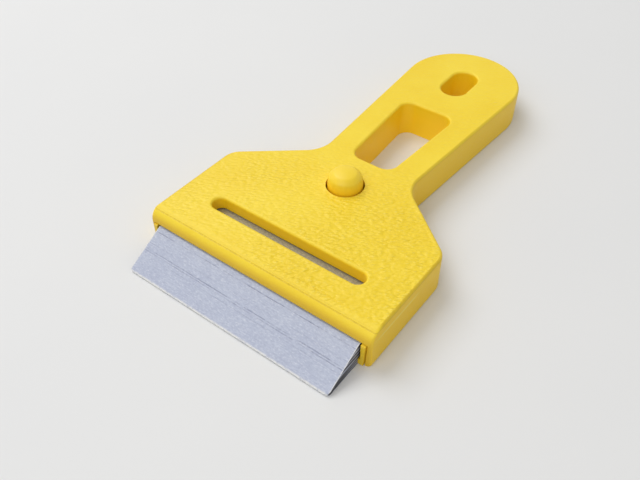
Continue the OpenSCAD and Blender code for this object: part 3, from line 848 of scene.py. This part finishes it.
# Depth of the level lines, share of it on the sides, extra depth of the deep lines, how deep each
# of these is by its number from below, and the height that the lines are counted from
BLADE_GROOVE, SIDE_GROOVE, DEEP_GROOVE, LINE_START = 0.03, 0.4, 0.08, 0.25
DEEP_LINES = {23: 1.0, 14: 0.9, 13: 0.8, 11: 0.45, 17: 0.3}
# How the lines on the slope break up: a start, and patterns with their strength, their cycles per
# millimetre across and upwards, and their place in the noise
WHOLE_START, BREAKS = 0.7, ((1, 0.16, 7.3, 1.7), (0.6, 0.8, 5.1, 4.2), (0.6, 2.1, 1, 8.8))
# Points across the front and round each of its corners, and least room behind the slope's top
BLADE_COLUMNS, BLADE_CORNER_STEPS, TOP_ROOM = 220, 6, 0.3
# Height of the first ring above the foot, rings between two lines as shares of a layer, how near
# a ring may come to the tang's foot and to the top, and the height of the worn edge
FOOT_RING, BLADE_RISES, RING_CLEAR, EDGE_WORN = 0.06, (0.3, 0.7), 0.055, 0.15
SLOPE_FOOT = BLADE_FOOT + BLADE_EDGE_T
SLOPE = (BLADE_REACH - HEEL_LEAD) / (BLADE_TOP - SLOPE_FOOT)
SLOPE_TURN = math.atan2(BLADE_TOP - SLOPE_FOOT, BLADE_REACH - HEEL_LEAD)


def blade_front(z):
    """Where the blade's front lies at height z, as a y value."""
    return -BLADE_REACH + SLOPE * max(z - SLOPE_FOOT, 0)


def quarter(inner):
    """How far a corner's rounding reaches out at the distance inner from the end of its side."""
    return math.sqrt(max(BLADE_CORNER_R ** 2 - max(inner, 0) ** 2, 0))


def wholeness(x, z):
    """How whole a line on the slope is at a place: high where it is deep, low where it fades."""
    return WHOLE_START + sum(strength * noise.noise(Vector((x * across, z * up, place)))
                             for strength, across, up, place in BREAKS)


def blade_row(z, groove, rear, deep):
    """One ring of the blade, from its rear left corner round by the right side and the front, and
    the share of painted shade of its points in the deep lines. The tang's rings have a point where
    the wedge below them ends."""
    front = blade_front(z)
    turn = max(WEDGE_REAR, front + TOP_ROOM)
    cut = max(BLADE_CORNER_R - (front + BLADE_REACH), 0)
    half = BLADE_HALF - SIDE_GROOVE * groove * BLADE_GROOVE
    points = [(-half, rear, z), (half, rear, z)]
    if rear > WEDGE_REAR:
        points.append((half, turn, z))
    corner = []
    for i in range(BLADE_CORNER_STEPS + 1):
        y = front + cut * (1 - math.sin(math.radians(90 - 90 / BLADE_CORNER_STEPS * i)))
        corner.append((half - BLADE_CORNER_R + quarter(BLADE_CORNER_R - (y + BLADE_REACH)), y, z))
    points += corner[::-1]
    lines = [0.0] * len(points)
    end = corner[0][0]
    on_slope = z > SLOPE_FOOT
    for i in range(1, BLADE_COLUMNS):
        x = end - 2 * end * i / BLADE_COLUMNS
        whole = wholeness(x, z)
        extra = deep * DEEP_GROOVE * held(whole + 0.35, 0.15, 1.2)
        depth = groove * (BLADE_GROOVE + extra) * held(whole, 0.3, 1.2) if on_slope else 0
        points.append((x, front + depth * math.sin(SLOPE_TURN), z - depth * math.cos(SLOPE_TURN)))
        lines.append(deep * held(whole) if on_slope else 0.0)
    points += [(-x, y, z) for x, y, z in corner]
    if rear > WEDGE_REAR:
        points.append((-half, turn, z))
    lines += [0.0] * (len(points) - len(lines))
    return points, lines


blade = Skin()
blade_levels = [(BLADE_FOOT + FOOT_RING, 0, 0.0)]
for k in range(1, int((BLADE_TOP - LINE_START) / LAYER_H) + 1):
    z = LINE_START + LAYER_H * k
    if z > SLOPE_FOOT:
        blade_levels.append((z, 1, DEEP_LINES.get(k, 0.0)))
    blade_levels += [(z + LAYER_H * rise, 0, 0.0) for rise in BLADE_RISES]
# Rings that come too close to the tang's foot or to the top give way to rings right there
blade_levels = [(z, g, d) for z, g, d in blade_levels
                if z < BLADE_TOP - RING_CLEAR and abs(z - TANG_FOOT) > RING_CLEAR]
blade_levels += [(z, 0, 0.0) for z in (BLADE_FOOT, SLOPE_FOOT, TANG_FOOT, BLADE_TOP)]
blade_levels.sort()
wedge_rows = [blade_row(z, g, WEDGE_REAR, d) for z, g, d in blade_levels if z <= TANG_FOOT + NEAR]
tang_rows = [blade_row(z, g, TANG_REAR, d) for z, g, d in blade_levels if z >= TANG_FOOT - NEAR]
blade.wall([blade.row(r, 1.0 if r[0][2] < SLOPE_FOOT + EDGE_WORN else 0.0, lines)
            for r, lines in wedge_rows])
blade.wall([blade.row(r, 0.0, lines) for r, lines in tang_rows])
boss_holes = [ring((side * BOSS_X, BOSS_Y), BOSS_HOLE_R, BOSS_STEPS) for side in (-1, 1)]
for loop in boss_holes:
    blade.wall([blade.row([(x, y, z) for x, y in loop]) for z in (TANG_FOOT, BLADE_TOP)])
blade.flat([wedge_rows[0][0]], BLADE_FOOT)
ledge = [(-BLADE_HALF, WEDGE_REAR), (BLADE_HALF, WEDGE_REAR),
         (BLADE_HALF, TANG_REAR), (-BLADE_HALF, TANG_REAR)]
blade.flat([ledge, *boss_holes], TANG_FOOT, rim=0.0)
blade.flat([tang_rows[-1][0], *boss_holes], BLADE_TOP, rim=0.0)

# Tones of the silver-grey: two that drift, pale and dark strokes, pale and dark flecks
BLADE_TONES = (0.45, 0.487, 0.615, 1), (0.48, 0.52, 0.64, 1)
STROKE_TONES = (0.64, 0.67, 0.77, 1), (0.36, 0.39, 0.51, 1)
FINE_TONES = (0.68, 0.71, 0.79, 1), (0.35, 0.38, 0.50, 1)
# Two tones of painted shade warmed by yellow bounce light on the level top under the roof, tones of
# painted shade in the gaps of the stack and in the deep lines, and the tone of the chalk
ROOF_SHADE_TONES = (0.29, 0.25, 0.12, 1), (0.50, 0.45, 0.24, 1)
STACK_GAP_SHADE, DEEP_LINE_SHADE, CHALK_TONE = (0.05, 0.05, 0.06, 1), (0.19, 0.20, 0.29, 1), (0.86, 0.85, 0.80, 1)
# How far the painted shade of the top, the painted shade of the deep lines and the chalky tone cover
ROOF_SHADE_COVER, DEEP_LINE_SHADE_COVER, CHALK_COVER = 0.75, 0.75, 0.8
# Patterns in cycles per metre: clouds, strokes, fine flecks, and the stack of the side faces
CLOUDS, STROKES, FINE_FLECKS, STACK = 170, 1400, 2400, 1900
# Millimetres over which the painted shade of the top sets in behind the nose, and the chalk at
# edge and sides ends
ROOF_SHADE_Y, CHALK_Y, CHALK_X = (1, 2), (0.08, 0.5), (0.35, 0.12)
# Depths of strokes and flecks, in metres
BLADE_STROKE_RELIEF, BLADE_FLECK_RELIEF = 0.00003, 0.000012


def blade_finish():
    """Silver-grey plastic with a cool cast: cloudy tone, short pale and dark strokes along the
    slope, a stack of fine lines with painted shade in their gaps on the upright faces, painted
    shade in the deep lines, painted shade warmed by yellow bounce light on the level top under the
    roof, and a chalky worn edge."""
    material, tree = blank_material("blade_plastic")
    place, apart, facing = lay_of(tree)
    upright = ramp(tree, maths(tree, "ABSOLUTE", facing[0]), 0.6, 0.9)
    under_roof = maths(tree, "MULTIPLY", ramp(tree, facing[2], 0.97, 0.99),
                      ramp(tree, apart[1], *((y - MID_Y) * MM for y in ROOF_SHADE_Y)))
    cloudy = speckle(tree, place, CLOUDS, 4, 0.6, stretch=(0.7, 1.2, 1))
    strokes = speckle(tree, place, STROKES, 3, 0.7, stretch=(0.6, 1.3, 1))
    fine = speckle(tree, place, FINE_FLECKS, 2, 0.5, stretch=(0.5, 1.3, 1))
    stack = speckle(tree, place, STACK, 1, 0.5, stretch=(0.02, 0.02, 1))

    colour = mix(tree, ramp(tree, cloudy, 0.36, 0.66), *BLADE_TONES)
    colour = mix(tree, ramp(tree, strokes, 0.52, 0.7, 0, 0.4), colour, STROKE_TONES[0])
    colour = mix(tree, ramp(tree, strokes, 0.48, 0.3, 0, 0.45), colour, STROKE_TONES[1])
    colour = mix(tree, ramp(tree, fine, 0.55, 0.68, 0, 0.45), colour, FINE_TONES[0])
    colour = mix(tree, ramp(tree, fine, 0.44, 0.32, 0, 0.35), colour, FINE_TONES[1])
    # Painted shade warmed by yellow bounce light on the level top under the roof
    roof_shade = mix(tree, ramp(tree, fine, 0.4, 0.62), *ROOF_SHADE_TONES)
    colour = mix(tree, maths(tree, "MULTIPLY", under_roof, ROOF_SHADE_COVER), colour, roof_shade)
    # Painted shade in the gaps of the stack on the side faces
    colour = mix(tree, maths(tree, "MULTIPLY", ramp(tree, stack, 0.62, 0.46), upright), colour, STACK_GAP_SHADE)
    # Painted shade in the deep lines' grooves
    line = maths(tree, "MULTIPLY", carried(tree, "line"), DEEP_LINE_SHADE_COVER, clamp=True)
    colour = mix(tree, line, colour, DEEP_LINE_SHADE)
    chalk = ramp(tree, apart[1], *((y - BLADE_REACH - MID_Y) * MM for y in CHALK_Y), 1, 0)
    sides = ramp(tree, maths(tree, "ABSOLUTE", apart[0]), *((BLADE_HALF - x) * MM for x in CHALK_X))
    sides = maths(tree, "MULTIPLY", sides, maths(tree, "SUBTRACT", 0.8, upright, clamp=True))
    chalk = maths(tree, "MAXIMUM", chalk, sides)
    chalk = maths(tree, "MULTIPLY", chalk, ramp(tree, strokes, 0.35, 0.5, 0.35, 1))
    colour = mix(tree, maths(tree, "MULTIPLY", chalk, CHALK_COVER), colour, CHALK_TONE)
    gloss = maths(tree, "ADD", ramp(tree, strokes, 0.3, 0.7, 0.5, 0.62),
                  maths(tree, "MULTIPLY", carried(tree, "rim"), 0.1))
    add_coat(tree, colour, gloss, [(strokes, BLADE_STROKE_RELIEF), (fine, BLADE_FLECK_RELIEF)], 0.4)
    return material


scraper_blade = blade.close("wedge_blade", blade_finish(), smooth_angle=40)
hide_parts("scraper_blade")
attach(scraper_blade, "carrier")
